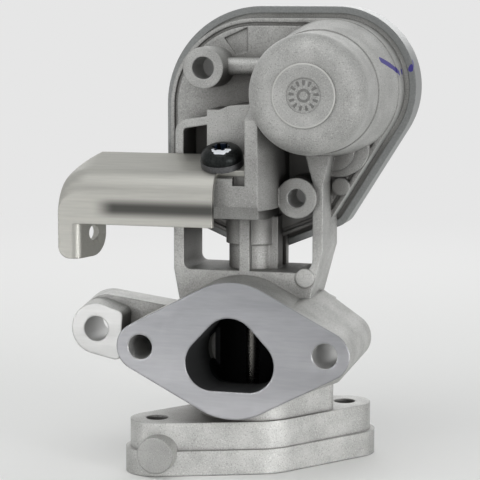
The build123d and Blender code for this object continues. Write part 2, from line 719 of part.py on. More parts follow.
# Valve head: a poppet that closes upwards on the seat
with BuildPart() as head:
    with BuildSketch(Plane.XZ):
        with BuildLine():
            Polyline(
                (STEM_R, HEAD_Z - HEAD_T),
                (SEAT_THROAT_R + SEAT_CONE, HEAD_Z - HEAD_T),
                (SEAT_THROAT_R + SEAT_CONE, HEAD_Z),
                (SEAT_THROAT_R - 0.4, HEAD_Z + SEAT_CONE + 0.4),
                (STEM_R + HEAD_DISH[0], HEAD_Z + HEAD_DISH[1]),
                (STEM_R + HEAD_HUB[0], HEAD_Z + HEAD_HUB[1]),
                (STEM_R, HEAD_Z + HEAD_HUB[1]),
                close=True,
            )
        make_face()
    revolve(axis=Axis.Z)
head.part.label = "valve_head"

# Valve stem, riveted under the head
with BuildPart() as stem:
    with BuildSketch(Plane.XY.offset(HEAD_Z - HEAD_T - 0.8)):
        Circle(STEM_R)
    extrude(amount=STEM_TOP - HEAD_Z + HEAD_T + 0.8)
    chamfer(stem.faces().sort_by(Axis.Z)[-1].edges(), 0.5)
stem.part.label = "valve_stem"

# Stem guide bush and the seal above it
with BuildPart() as guide:
    with BuildSketch(Plane.XY.offset(GUIDE_BOTTOM)):
        Circle(GUIDE_R - PRESS)
        Circle(STEM_R + RUN, mode=Mode.SUBTRACT)
    extrude(amount=GUIDE_TOP - GUIDE_BOTTOM)
guide.part.label = "guide_bush"

with BuildPart() as seal:
    with BuildSketch(Plane.XZ):
        with BuildLine():
            Polyline(
                (STEM_R + RUN, SPRING_FLOOR - SEAL_H),
                (SEAL_R - PRESS, SPRING_FLOOR - SEAL_H),
                (SEAL_R - PRESS, SPRING_FLOOR),
                (SEAL_R - 1.0, SPRING_FLOOR),
                (SEAL_R - 1.0, SPRING_FLOOR - SEAL_H / 2),
                (STEM_R + 0.9, SPRING_FLOOR - SEAL_H / 2),
                (STEM_R + RUN, SPRING_FLOOR - 0.4),
                close=True,
            )
        make_face()
    revolve(axis=Axis.Z)
seal.part.label = "stem_seal"

# Return spring between the chamber's floor and its cap on the stem
spring_top = YOKE_Z - CAP_T
spring_run = spring_top - SPRING_FLOOR - SPRING_WIRE
with BuildPart() as spring:
    with BuildLine(Plane.XY.offset(SPRING_FLOOR + SPRING_WIRE / 2)) as coil:
        Helix(pitch=spring_run / SPRING_TURNS, height=spring_run, radius=SPRING_MID_R)
    with BuildSketch(Plane(origin=coil.line @ 0, z_dir=coil.line % 0)):
        RegularPolygon(SPRING_WIRE / 2, 8)
    sweep(path=coil.line, is_frenet=True)
spring.part.label = "return_spring"

with BuildPart() as cap:
    with BuildSketch(Plane.XY.offset(spring_top)):
        Circle(SPRING_BORE_R - SLACK)
        Circle(STEM_R, mode=Mode.SUBTRACT)
    extrude(amount=CAP_T)
cap.part.label = "spring_cap"

# Yoke: a slotted block on top of the stem that the crank's roller moves up and down
with BuildPart() as yoke:
    with BuildSketch(Plane.XY.offset(YOKE_Z)):
        RectangleRounded(2 * YOKE_HALF_X, 2 * YOKE_HALF_Y, 1.5)
    extrude(amount=YOKE_H)
    with BuildSketch(Plane.XY.offset(YOKE_Z)):
        Circle(STEM_R)
    extrude(amount=STEM_TOP - YOKE_Z, mode=Mode.SUBTRACT)
    slot_left = CRANK_X - ROLLER_R - 0.2
    slot_right = GEAR_X + CRANK_R + ROLLER_R + 0.2
    with BuildSketch(facing(YOKE_HALF_Y)):
        with Locations(((slot_left + slot_right) / 2, CRANK_Z)):
            Rectangle(slot_right - slot_left, 2 * (ROLLER_R + SLOT_GAP))
    extrude(amount=2 * YOKE_HALF_Y, mode=Mode.SUBTRACT)
yoke.part.label = "yoke"

# Roller and crank pin
with BuildPart() as roller:
    with BuildSketch(facing(ROLLER_T / 2)):
        with Locations((CRANK_X, CRANK_Z)):
            Circle(ROLLER_R)
            Circle(CRANK_PIN_R + RUN, mode=Mode.SUBTRACT)
    extrude(amount=ROLLER_T)
roller.part.label = "crank_roller"

with BuildPart() as crank_pin:
    with BuildSketch(facing(GEAR_FRONT + GEAR_T)):
        with Locations((CRANK_X, CRANK_Z)):
            Circle(CRANK_PIN_R)
    extrude(amount=GEAR_FRONT + GEAR_T + ROLLER_T / 2 + 0.3)
crank_pin.part.label = "crank_pin"

# Output gear: a toothed sector on a hub, with the crank pin's boss
with BuildPart() as output_gear:
    wedge_low = TO_IDLER - SECTOR_MARGIN
    wedge_high = TO_IDLER + 2 * STROKE_HALF_ANGLE + SECTOR_MARGIN
    wedge_mid = (wedge_low + wedge_high) / 2
    reach = COARSE * GEAR_TEETH
    with BuildSketch(facing(GEAR_FRONT + GEAR_T)):
        with Locations((GEAR_X, GEAR_Z)):
            add(sketch_gear(GEAR_TEETH, COARSE, TO_IDLER + 180 / GEAR_TEETH))
        with BuildLine():
            Polyline(
                (GEAR_X, GEAR_Z),
                (GEAR_X + reach * cos(radians(wedge_low)), GEAR_Z + reach * sin(radians(wedge_low))),
                (GEAR_X + reach * cos(radians(wedge_high)), GEAR_Z + reach * sin(radians(wedge_high))),
                close=True,
            )
        make_face(mode=Mode.INTERSECT)
        with Locations((GEAR_X, GEAR_Z)):
            Circle(HUB_R)
        with Locations((CRANK_X, CRANK_Z)):
            Circle(CRANK_PIN_R + CRANK_WALL)
    extrude(amount=GEAR_T)
    with BuildSketch(facing(GEAR_FRONT + GEAR_T + 1)):
        with Locations((GEAR_X, GEAR_Z)):
            Circle(HUB_R)
    extrude(amount=GEAR_T + 2)
    # lightening window through the web
    with BuildSketch(facing(GEAR_FRONT + GEAR_T)):
        with Locations((GEAR_X, GEAR_Z)):
            with PolarLocations(GEAR_WINDOW_AT, 1, start_angle=wedge_mid):
                SlotOverall(*GEAR_WINDOW)
    extrude(amount=GEAR_T, mode=Mode.SUBTRACT)
    with BuildSketch(facing(GEAR_FRONT + GEAR_T + 1)):
        with Locations((GEAR_X, GEAR_Z)):
            Circle(PIN_R + RUN)
        with Locations((CRANK_X, CRANK_Z)):
            Circle(CRANK_PIN_R)
    extrude(amount=GEAR_T + 2, mode=Mode.SUBTRACT)
output_gear.part.label = "output_gear"

# Idler: a coarse pinion and a fine wheel in one moulding
with BuildPart() as idler:
    with BuildSketch(facing(IDLER_WEB)):
        with Locations((IDLER_X, IDLER_Z)):
            add(sketch_gear(IDLER_SMALL, COARSE, TO_IDLER + 180))
    extrude(amount=IDLER_WEB - GEAR_FRONT + 0.8)
    with BuildSketch(facing(IDLER_WEB + IDLER_T)):
        with Locations((IDLER_X, IDLER_Z)):
            add(sketch_gear(IDLER_BIG, FINE, TO_MOTOR))
    extrude(amount=IDLER_T)
    with BuildSketch(facing(IDLER_WEB + IDLER_T)):
        with Locations((IDLER_X, IDLER_Z)):
            Circle(IDLER_PIN_R + RUN)
    extrude(amount=IDLER_WEB + IDLER_T, mode=Mode.SUBTRACT)
idler.part.label = "idler_gear"

# Fixed pins of the two gears
PIN_SEAT = WALL_FRONT + 1
with BuildPart() as output_pin:
    with BuildSketch(facing(PIN_BACK)):
        with Locations((GEAR_X, GEAR_Z)):
            Circle(PIN_R)
    extrude(amount=PIN_BACK - PIN_SEAT)
output_pin.part.label = "output_gear_pin"

with BuildPart() as idler_pin:
    with BuildSketch(facing(IDLER_PIN_BACK)):
        with Locations((IDLER_X, IDLER_Z)):
            Circle(IDLER_PIN_R)
    extrude(amount=IDLER_PIN_BACK - PIN_SEAT)
idler_pin.part.label = "idler_gear_pin"

# Position sensor: a ring magnet on the output gear's hub, and its board inside the cover
hub_back = GEAR_FRONT + GEAR_T + 1
with BuildPart() as magnet:
    with BuildSketch(facing(hub_back + SENSOR_T)):
        with Locations((GEAR_X, GEAR_Z)):
            Circle(SENSOR_R)
            Circle(PIN_R + 0.9, mode=Mode.SUBTRACT)
    extrude(amount=SENSOR_T)
magnet.part.label = "sensor_magnet"

with BuildPart() as board:
    with BuildSketch(facing(BOARD_Y + BOARD_T)):
        with Locations((GEAR_X, GEAR_Z)):
            RectangleRounded(BOARD_W, BOARD_H, 2)
            Circle(STEADY_R + SLACK, mode=Mode.SUBTRACT)
    extrude(amount=BOARD_T)
    with BuildSketch(facing(BOARD_Y)):
        with Locations((GEAR_X + 8.5, GEAR_Z), (GEAR_X - 8.5, GEAR_Z + 2)):
            Rectangle(4, 5)
    extrude(amount=1.4)
board.part.label = "sensor_board"

# Motor: case, magnets, rotor, bearings, brushes, end plate, its screws and terminals
with BuildPart() as case:
    with BuildSketch(facing(CASE_BACK)):
        with Locations((MOTOR_X, MOTOR_Z)):
            Circle(CASE_R)
    extrude(amount=CASE_BACK - CASE_FRONT)
    with BuildSketch(facing(CASE_BACK)):
        with Locations((MOTOR_X, MOTOR_Z)):
            Circle(CASE_R - CASE_T)
    extrude(amount=CASE_BACK - CASE_FRONT - CASE_T, mode=Mode.SUBTRACT)
case.part.label = "motor_case"

with BuildPart() as washer_spring:
    with BuildSketch(facing(CASE_FRONT)):
        with Locations((MOTOR_X, MOTOR_Z)):
            Circle(WAVE_R)
            Circle(WAVE_R - 3.0, mode=Mode.SUBTRACT)
    extrude(amount=CASE_FRONT - CAN_FRONT - CAN_WALL)
washer_spring.part.label = "motor_wave_washer"

with BuildPart() as magnets:
    with BuildSketch(facing(PACK_BACK + 3)):
        with Locations((MOTOR_X, MOTOR_Z)):
            Circle(CASE_R - CASE_T)
            Circle(CASE_R - CASE_T - MAGNET_ARC_T, mode=Mode.SUBTRACT)
            Rectangle(2 * CASE_R, MAGNET_ARC_GAP, mode=Mode.SUBTRACT)
    extrude(amount=MAGNET_ARC_L)
magnets.part.label = "motor_magnets"

with BuildPart() as rotor:
    for back, front, radius in (
        (AXLE_BACK, AXLE_FRONT, AXLE_R),
        (PACK_BACK, PACK_FRONT, PACK_R),
        (PACK_BACK + 1 + COLLECTOR_T, PACK_BACK + 1, COLLECTOR_R),
    ):
        with BuildSketch(facing(back)):
            with Locations((MOTOR_X, MOTOR_Z)):
                Circle(radius)
        extrude(amount=back - front)
rotor.part.label = "motor_rotor"

with BuildPart() as bearings:
    for start in (BUSH_BACK, CASE_FRONT + CASE_T + BUSH_T):
        with BuildSketch(facing(start)):
            with Locations((MOTOR_X, MOTOR_Z)):
                Circle(BUSH_R)
                Circle(AXLE_R + RUN, mode=Mode.SUBTRACT)
        extrude(amount=BUSH_T)
bearings.part.label = "motor_bearings"

with BuildPart() as end_plate:
    with BuildSketch(facing(CASE_BACK + END_PLATE_T)):
        with Locations((MOTOR_X, MOTOR_Z)):
            Circle(CASE_R)
    extrude(amount=END_PLATE_T)
    with BuildSketch(facing(CASE_BACK + END_PLATE_T)):
        with Locations((MOTOR_X, MOTOR_Z)):
            with PolarLocations(END_SCREW_AT, 2, start_angle=END_SCREW_TURN):
                Circle(END_EAR_R)
    extrude(amount=EAR_T)
    with BuildSketch(facing(CASE_BACK)):
        with Locations((MOTOR_X, MOTOR_Z)):
            Circle(CASE_R - CASE_T)
    extrude(amount=CASE_BACK)
    with BuildSketch(facing(CASE_BACK + END_PLATE_T)):
        with Locations((MOTOR_X, MOTOR_Z)):
            Circle(AXLE_R + 1)
            with PolarLocations(END_SCREW_AT, 2, start_angle=END_SCREW_TURN):
                Circle(END_SCREW_R + THREAD)
    extrude(amount=CASE_BACK + END_PLATE_T, mode=Mode.SUBTRACT)
    with BuildSketch(facing(BUSH_BACK)):
        with Locations((MOTOR_X, MOTOR_Z)):
            Circle(BUSH_R)
    extrude(amount=BUSH_BACK, mode=Mode.SUBTRACT)
end_plate.part.label = "motor_end_plate"

with BuildPart() as brushes:
    with BuildSketch(facing(0)):
        with Locations((MOTOR_X, MOTOR_Z)):
            with PolarLocations(BRUSH_AT, 2, start_angle=90):
                Rectangle(BRUSH[0], BRUSH[1])
    extrude(amount=BRUSH[2])
brushes.part.label = "motor_brushes"

with BuildPart() as end_screws:
    end_face = CASE_BACK + END_PLATE_T
    for start, length, radius in (
        (end_face + END_SCREW_HEAD_H, END_SCREW_HEAD_H, END_SCREW_HEAD_R),
        (end_face, END_SCREW_LEN, END_SCREW_R),
    ):
        with BuildSketch(facing(start)):
            with Locations((MOTOR_X, MOTOR_Z)):
                with PolarLocations(END_SCREW_AT, 2, start_angle=END_SCREW_TURN):
                    Circle(radius)
        extrude(amount=length)
end_screws.part.label = "motor_screws"

with BuildPart() as terminals:
    with BuildSketch(facing(BLADE_BACK)):
        with Locations((MOTOR_X, MOTOR_Z)):
            with PolarLocations(BLADE_AT, 2, start_angle=-30, angular_range=180):
                Rectangle(*BLADE)
    extrude(amount=BLADE_BACK - CASE_BACK - END_PLATE_T)
terminals.part.label = "motor_terminals"

with BuildPart() as pinion:
    with BuildSketch(facing(IDLER_WEB + IDLER_T + 0.6)):
        with Locations((MOTOR_X, MOTOR_Z)):
            add(sketch_gear(PINION_TEETH, FINE, TO_MOTOR + 180 + 180 / PINION_TEETH))
            Circle(AXLE_R, mode=Mode.SUBTRACT)
    extrude(amount=IDLER_T + 1.2)
pinion.part.label = "motor_pinion"

# Rear cover: a moulded shell with bosses for the pins and a socket for the plug
COVER_FLANGE = RIM_BACK - CRIMP_T
with BuildPart() as cover:
    with BuildSketch(facing(COVER_BACK)):
        add(sketch_rim(COVER_IN))
    extrude(amount=COVER_BACK - FLANGE_BACK)
    fillet(cover.faces().sort_by(Axis.Y)[-1].edges(), 2.0)
    with BuildSketch(facing(COVER_FLANGE)):
        add(sketch_rim(CRIMP_T))
    extrude(amount=COVER_FLANGE - FLANGE_BACK)
    with BuildSketch(facing(COVER_BACK - COVER_WALL)):
        add(sketch_rim(COVER_IN + COVER_WALL))
    extrude(amount=COVER_BACK - COVER_WALL - FLANGE_BACK, mode=Mode.SUBTRACT)
    # groove for the seal
    with BuildSketch(facing(FLANGE_BACK + SEAL_DEPTH)):
        add(sketch_rim(SEAL_IN))
        add(sketch_rim(SEAL_IN + SEAL_W), mode=Mode.SUBTRACT)
    extrude(amount=SEAL_DEPTH, mode=Mode.SUBTRACT)
    # bosses that steady the free ends of the pins, and posts for the sensor board
    for x, z, radius, front in (
        (GEAR_X, GEAR_Z, STEADY_R, hub_back + SENSOR_T + 0.4),
        (IDLER_X, IDLER_Z, IDLER_STEADY_R, IDLER_WEB + IDLER_T + 0.6),
    ):
        with BuildSketch(facing(COVER_BACK - COVER_WALL)):
            with Locations((x, z)):
                Circle(radius)
        extrude(amount=COVER_BACK - COVER_WALL - front)
    with BuildSketch(facing(COVER_BACK - COVER_WALL)):
        with Locations((GEAR_X, GEAR_Z)):
            with GridLocations(BOARD_W - 6, BOARD_H - 6, 2, 2):
                Circle(POST_INSIDE_R)
    extrude(amount=COVER_BACK - COVER_WALL - BOARD_Y - BOARD_T)
    for x, z, radius, depth in (
        (GEAR_X, GEAR_Z, PIN_R, PIN_BACK + 0.5),
        (IDLER_X, IDLER_Z, IDLER_PIN_R, IDLER_PIN_BACK + 0.5),
    ):
        with BuildSketch(facing(depth)):
            with Locations((x, z)):
                Circle(radius + THREAD)
        extrude(amount=depth - FLANGE_BACK + 2, mode=Mode.SUBTRACT)
    # socket
    with BuildSketch(facing(SOCKET_END)):
        with Locations((SOCKET_X, SOCKET_Z)):
            RectangleRounded(SOCKET_W, SOCKET_H, 3)
    extrude(amount=SOCKET_END - COVER_BACK + 1)
    with BuildSketch(facing(SOCKET_END)):
        with Locations((SOCKET_X, SOCKET_Z)):
            RectangleRounded(SOCKET_W - 2 * SOCKET_WALL, SOCKET_H - 2 * SOCKET_WALL, 1.8)
    extrude(amount=SOCKET_END - COVER_BACK, mode=Mode.SUBTRACT)
    with BuildSketch(facing(SOCKET_END)):
        with Locations((SOCKET_X, SOCKET_Z)):
            with GridLocations(PIN_PITCH, 1, PIN_COUNT, 1):
                Rectangle(PIN_W, PIN_W)
    extrude(amount=SOCKET_END - COVER_BACK + 2 * COVER_WALL, mode=Mode.SUBTRACT)
cover.part.label = "gear_cover"

with BuildPart() as contacts:
    with BuildSketch(facing(PIN_END)):
        with Locations((SOCKET_X, SOCKET_Z)):
            with GridLocations(PIN_PITCH, 1, PIN_COUNT, 1):
                Rectangle(PIN_W, PIN_W)
    extrude(amount=PIN_END - COVER_BACK + 2 * COVER_WALL)
contacts.part.label = "socket_contacts"

with BuildPart() as cover_seal:
    with BuildSketch(facing(FLANGE_BACK + SEAL_DEPTH)):
        add(sketch_rim(SEAL_IN))
        add(sketch_rim(SEAL_IN + SEAL_W), mode=Mode.SUBTRACT)
    extrude(amount=SEAL_DEPTH)
cover_seal.part.label = "cover_seal"

# Crimp ring that holds the cover on the housing
with BuildPart() as crimp:
    with BuildSketch(facing(RIM_BACK)):
        add(sketch_rim(0))
        add(sketch_rim(CRIMP_LIP), mode=Mode.SUBTRACT)
    extrude(amount=RIM_BACK - RIM_FRONT)
    with BuildSketch(facing(COVER_FLANGE)):
        add(sketch_rim(CRIMP_T))
    extrude(amount=COVER_FLANGE - RIM_FRONT - CRIMP_T, mode=Mode.SUBTRACT)
crimp.part.label = "crimp_ring"

# Bracket: bent sheet clamped on the tilted seat, with a lug at its far end
seat_slope = tan(radians(TILT))
half = SHEET / 2
front_y = BOSS_Y - 5.0
lift = half / cos(radians(TILT))
rear_y = TOWER_Y - SLACK - half * sin(radians(TILT))


def seat_z(y):
    """Height of the bracket's middle surface on the tilted seat, at a depth."""
    return BOSS_TOP + (y - SCREW_Y) * seat_slope + lift


lug_along = (sin(radians(LUG_TURN)), cos(radians(LUG_TURN)))
bend_x = BRACKET_L + STRIP_W
low_z = seat_z(front_y) - BRACKET_DROP - BRACKET_BEND
with BuildPart() as bracket:
    with BuildSketch(Plane(origin=(BRACKET_L, 0, 0), x_dir=(0, 1, 0), z_dir=(1, 0, 0))):
        with BuildLine():
            FilletPolyline(
                (rear_y, seat_z(rear_y)),
                (front_y, seat_z(front_y)),
                (front_y, low_z),
                radius=BRACKET_BEND + half,
            )
        trace(line_width=SHEET)
    extrude(amount=BRACKET_R - BRACKET_L)
    # tongue under the screw
    with BuildSketch(Plane(origin=(BRACKET_R - 1, 0, 0), x_dir=(0, 1, 0), z_dir=(1, 0, 0))):
        with BuildLine():
            Polyline((rear_y, seat_z(rear_y)), (BOSS_Y + 1.5, seat_z(BOSS_Y + 1.5)))
        trace(line_width=SHEET)
    extrude(amount=TOWER_R - RIB_W - SLACK - BRACKET_R + 1)
    # rear left corner cut away
    with BuildSketch(Plane.XY.offset(low_z)):
        with BuildLine():
            Polyline(
                (BRACKET_L - 1, rear_y + 1),
                (BRACKET_L + BRACKET_CUT[0], rear_y + 1),
                (BRACKET_L - 1, rear_y - BRACKET_CUT[1]),
                close=True,
            )
        make_face()
    extrude(amount=40, mode=Mode.SUBTRACT)
    # strip and lug: the sheet turns back through a vertical bend
    with BuildSketch(Plane.XY.offset(low_z - LUG_DROP)):
        with BuildLine():
            FilletPolyline(
                (BRACKET_L, front_y),
                (bend_x, front_y),
                (bend_x + LUG_W * lug_along[0], front_y + LUG_W * lug_along[1]),
                radius=2.2,
            )
        trace(line_width=SHEET)
    extrude(amount=LUG_DROP + 4)
    lug_bottom = bracket.edges().filter_by(Plane.XY).group_by(Axis.Z)[0].filter_by(GeomType.LINE)
    fillet(lug_bottom.sort_by(Axis.Y)[-1], LUG_W / 2 - 0.2)
    fillet(lug_bottom.sort_by(Axis.X)[0], STRIP_W - 2.4)
    lug_plane = Plane(
        origin=(bend_x, front_y, 0),
        x_dir=(lug_along[0], lug_along[1], 0),
        z_dir=(lug_along[1], -lug_along[0], 0),
    )
    with BuildSketch(lug_plane.offset(-half - 1)):
        with Locations((LUG_W / 2 + 0.6, low_z - LUG_DROP + 8.4)):
            Circle(LUG_HOLE_R)
    extrude(amount=SHEET + 2, mode=Mode.SUBTRACT)
    seat_plane = Plane(
        origin=(SCREW_X, SCREW_Y, BOSS_TOP), x_dir=(1, 0, 0), z_dir=tuple(-v for v in screw_down)
    )
    with BuildSketch(seat_plane.offset(-1)):
        Circle(SCREW_R + SLACK)
    extrude(amount=SHEET + 2, mode=Mode.SUBTRACT)
bracket.part.label = "bracket"

with BuildPart() as screw_washer:
    with BuildSketch(seat_plane.offset(SHEET)):
        Circle(WASHER_R)
        Circle(SCREW_R + THREAD, mode=Mode.SUBTRACT)
    extrude(amount=WASHER_T)
screw_washer.part.label = "bracket_washer"

with BuildPart() as screw:
    with BuildSketch(seat_plane.offset(SHEET + WASHER_T)):
        Circle(SCREW_HEAD_R)
    extrude(amount=SCREW_HEAD_H)
    fillet(screw.faces().sort_by(Axis.Z)[-1].edges(), SCREW_DOME)
    with BuildSketch(seat_plane.offset(SHEET + WASHER_T)):
        Circle(SCREW_R)
    extrude(amount=-SHEET - WASHER_T - SCREW_LEN)
    with BuildSketch(seat_plane.offset(SHEET + WASHER_T + SCREW_HEAD_H)):
        Circle(2.5)
        with PolarLocations(2.5, 6):
            Circle(0.75)
    extrude(amount=-2.6, mode=Mode.SUBTRACT)
screw.part.label = "bracket_screw"

PIECES = (
    casting, seat, head, stem, guide, seal, spring, cap, yoke, roller, crank_pin, output_gear,
    idler, output_pin, idler_pin, magnet, board, case, washer_spring, magnets, rotor, bearings,
    end_plate, brushes, end_screws, terminals, pinion, cover, contacts, cover_seal, crimp,
    bracket, screw_washer, screw,
)
os.makedirs("parts", exist_ok=True)
for piece in PIECES:
    export_step(piece.part, f"parts/{piece.part.label}.step")
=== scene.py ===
"""An electric exhaust gas recirculation valve, dressed for rendering.

The frame holds the solids, in metres: the stem runs up +Z from the foot's lower face, and the gas
inlet faces -Y. This script gives every solid its finish, adds the small marks that a finished
valve carries, and sets the stage, the light and the camera.
"""
import json
from math import cos, radians, sin

import bmesh
import bpy
import numpy as np
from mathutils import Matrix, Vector


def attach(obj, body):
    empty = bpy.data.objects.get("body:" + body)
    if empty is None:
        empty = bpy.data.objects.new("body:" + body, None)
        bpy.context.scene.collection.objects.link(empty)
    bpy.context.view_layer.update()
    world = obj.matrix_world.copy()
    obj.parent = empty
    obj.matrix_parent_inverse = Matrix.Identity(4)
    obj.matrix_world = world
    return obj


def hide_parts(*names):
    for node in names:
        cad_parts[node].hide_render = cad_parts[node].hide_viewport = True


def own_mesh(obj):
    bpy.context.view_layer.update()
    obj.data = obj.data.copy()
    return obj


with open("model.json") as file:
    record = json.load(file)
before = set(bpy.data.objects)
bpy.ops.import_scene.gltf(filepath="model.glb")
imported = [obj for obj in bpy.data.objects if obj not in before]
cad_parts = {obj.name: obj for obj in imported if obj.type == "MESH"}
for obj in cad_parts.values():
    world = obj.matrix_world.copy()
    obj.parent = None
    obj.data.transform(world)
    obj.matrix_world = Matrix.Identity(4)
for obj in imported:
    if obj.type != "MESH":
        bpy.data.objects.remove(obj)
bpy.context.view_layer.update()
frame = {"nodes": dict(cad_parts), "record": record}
MM = 0.001

# Places on the solids, in millimetres
CAN_X, CAN_Z = 28.0, 136.6      # axis of the motor can, which lies along Y
TICKS = 13.0                    # ticks round the dimple in the can's front
DIMPLE_R = 5.6
DISC_R = 10.75                  # edge of the raised disc round the dimple, where a highlight is painted
PASSAGE_R = 15.8                # just outside the widest bore of the gas passage
BRACKET_L = -62.0               # left end of the bracket
LIP_Z = 90.0                    # lower edge of the bracket's lip
LIP_FRONT = -32.5               # just behind the front of the lip
DRAWN = 11.0                    # length of the bracket's left end that is drawn down
DROP = 7.0                      # how far it is drawn down
FADE_H = 12.0                   # height above the lip's edge over which the drop fades out
STRIPS = 20                     # strips across the drawn end, so that it bends
CROWDING = 1.6                  # they narrow towards its tip by this power
DARK_BAND_Z = 95.9                 # middle height of the dark band of painted reflection on the lip
# Holes drilled along Y, each by its x, z and radius: two in the inlet flange, one in the ear, and
# one in each of the gear housing's two bosses
DRILLED = (
    (-33.45, 46.1, 4.45), (33.45, 46.1, 4.45), (-55.0, 49.0, 4.6),
    (-14.6, 144.2, 4.0), (19.5, 98.9, 3.35),
)
# Boxes round single faces and hollows, each by its lowest and highest corner
DIMPLE = (CAN_X - 6, -41, CAN_Z - 6), (CAN_X + 6, -39, CAN_Z + 6)
DISC = (CAN_X - 12, -41.1, CAN_Z - 12), (CAN_X + 12, -40.6, CAN_Z + 12)
INLET_FACE = (-50, -30.5, 20), (50, -29.9, 72)
EAR_FACE = (-66, -15.4, 38), (-40, -14.9, 62)
FOOT_FACE = (-60, -50, -0.5), (60, 50, 0.1)
FOOT_PAD = (-33.2, -36.5, 1.6), (-19.6, -35.8, 15.2)        # round pad on the foot's front edge
PORT = (-17.5, -29.8, 29.5), (17.5, 0, 59.9)
CHAMBER = (-20, -20, 0.3), (20, 20, 58.6)
STEM_IN_GAS = (-4, -4, 8), (4, 4, 60)
# Soft edges of the painted shade in the pocket below the motor can along X and Z, each from outside
# to inside
POCKET_SIDES = (-12, -6), (31, 25)
POCKET_ENDS = (78, 86), (123, 112)
POCKET_MIDDLE_SHADE = 0.38          # painted shade in the open middle of the pocket
CORNER_REACH, POCKET_REACH = 20, 45     # how far round a point its openness is judged, for the painted shade

# Settings that several nodes share
COLOURS = {"out": 2, "data_type": "RGBA"}                       # a Mix of two colours
OPENNESS = {"out": "AO", "samples": 8, "only_local": True}      # 1 in the open, 0 in a deep corner
EDGE_SAMPLES = 6                                                # of a Bevel's rounded shading


def linear(hex_colour):
    """An sRGB hex colour as linear red, green, blue and alpha."""
    parts = [int(hex_colour[i:i + 2], 16) / 255 for i in (1, 3, 5)]
    return (*[c / 12.92 if c <= 0.04045 else ((c + 0.055) / 1.055) ** 2.4 for c in parts], 1.0)


def scale_for(size):
    """The scale at which a noise pattern's grains measure so many millimetres."""
    return 1 / (size * MM)


def add(tree, kind, inputs=None, out=0, **settings):
    """Adds a shader node with its settings and links, and gives one of its outputs.

    Each input is a plain value or another node's output, under its socket's name or number. A Mix
    has its factor at 0, its numbers at 2 and 3 and its colours at 6 and 7. A Map Range carries the
    value at 0 from the range 1 to 2 to the range 3 to 4, which is 0 to 1 unless it is given.
    """
    node = tree.nodes.new("ShaderNode" + kind)
    for name, value in settings.items():
        setattr(node, name, value)
    for name, value in (inputs or {}).items():
        if isinstance(value, bpy.types.NodeSocket):
            tree.links.new(value, node.inputs[name])
        else:
            node.inputs[name].default_value = value
    return node.outputs[out]


def new_material(name):
    """A new material with its tree, its Principled shader and the object's own coordinates."""
    material = bpy.data.materials.new(name)
    material.use_nodes = True
    tree = material.node_tree
    shader = tree.nodes["Principled BSDF"]
    return material, tree, shader, add(tree, "TexCoord", out="Object")


def within(tree, place, low, high):
    """1 inside a box given in millimetres, else 0.

    The offset from the box's middle is divided by its half size; inside, no axis exceeds 1.
    """
    middle = [(a + b) / 2 * MM for a, b in zip(low, high)]
    half = [(b - a) / 2 * MM for a, b in zip(low, high)]
    offset = add(tree, "VectorMath", {0: place, 1: middle}, operation="SUBTRACT")
    share = add(tree, "VectorMath", {0: offset, 1: half}, operation="DIVIDE")
    size = add(tree, "VectorMath", {0: share}, operation="ABSOLUTE")
    x, y, z = add(tree, "SeparateXYZ", {0: size}).node.outputs
    widest = add(tree, "Math", {0: x, 1: y}, operation="MAXIMUM")
    widest = add(tree, "Math", {0: widest, 1: z}, operation="MAXIMUM")
    return add(tree, "Math", {0: widest, 1: 1.0}, operation="LESS_THAN")


def from_axis(tree, place, x, z):
    """Distance, in metres, from the line along Y through x and z, given in millimetres.

    It is the length of the offset from that line once its part along Y is dropped.
    """
    offset = add(tree, "VectorMath", {0: place, 1: (x * MM, 0, z * MM)}, operation="SUBTRACT")
    across = add(tree, "VectorMath", {0: offset, 1: (1, 0, 1)}, operation="MULTIPLY")
    return add(tree, "VectorMath", {0: across}, out="Value", operation="LENGTH")


def fade(tree, mask, along, edges):
    """A mask times one soft edge after another.

    Each edge is 0 before its first place and 1 past its second, both in millimetres on the axis
    that along measures.
    """
    for outer, inner in edges:
        edge = add(tree, "MapRange", {0: along, 1: outer * MM, 2: inner * MM})
        mask = add(tree, "Math", {0: mask, 1: edge}, operation="MULTIPLY")
    return mask


def stroke(tree, place, start, end, width):
    """1 along a pen or brush stroke between two points in millimetres, else 0.

    The nearest point of the line is start + t (end - start) with t held to 0..1; a point is in the
    stroke where it is nearer to that than half the width.
    """
    start, end = Vector(start) * MM, Vector(end) * MM
    along = end - start
    offset = add(tree, "VectorMath", {0: place, 1: start}, operation="SUBTRACT")
    share = add(tree, "VectorMath", {0: offset, 1: along}, out="Value", operation="DOT_PRODUCT")
    share = add(
        tree, "Math", {0: share, 1: along.length_squared}, operation="DIVIDE", use_clamp=True
    )
    nearest = add(tree, "VectorMath", {0: along, "Scale": share}, operation="SCALE")
    away = add(tree, "VectorMath", {0: offset, 1: nearest}, out="Value", operation="DISTANCE")
    return add(tree, "Math", {0: away, 1: width / 2 * MM}, operation="LESS_THAN")


def cover(material, mask, values):
    """Mixes new values over a finish's own ones by a mask, each under its shader input's name."""
    tree = material.node_tree
    for name, value in values.items():
        socket = tree.nodes["Principled BSDF"].inputs[name]
        bare = socket.links[0].from_socket if socket.links else socket.default_value
        if name == "Base Color":
            mixed = add(tree, "Mix", {0: mask, 6: bare, 7: value}, **COLOURS)
        else:
            mixed = add(tree, "Mix", {0: mask, 2: bare, 3: value})
        tree.links.new(mixed, socket)


def paint(material, strokes, colour, roughness):
    """Lays paint or ink on a finished metal along strokes, each (start, end, width) in mm."""
    tree = material.node_tree
    place = add(tree, "TexCoord", out="Object")
    covered = 0.0
    for start, end, width in strokes:
        line = stroke(tree, place, start, end, width)
        covered = add(tree, "Math", {0: covered, 1: line}, operation="MAXIMUM")
    cover(
        material, covered,
        {"Base Color": linear(colour), "Roughness": roughness, "Metallic": 0.0},
    )


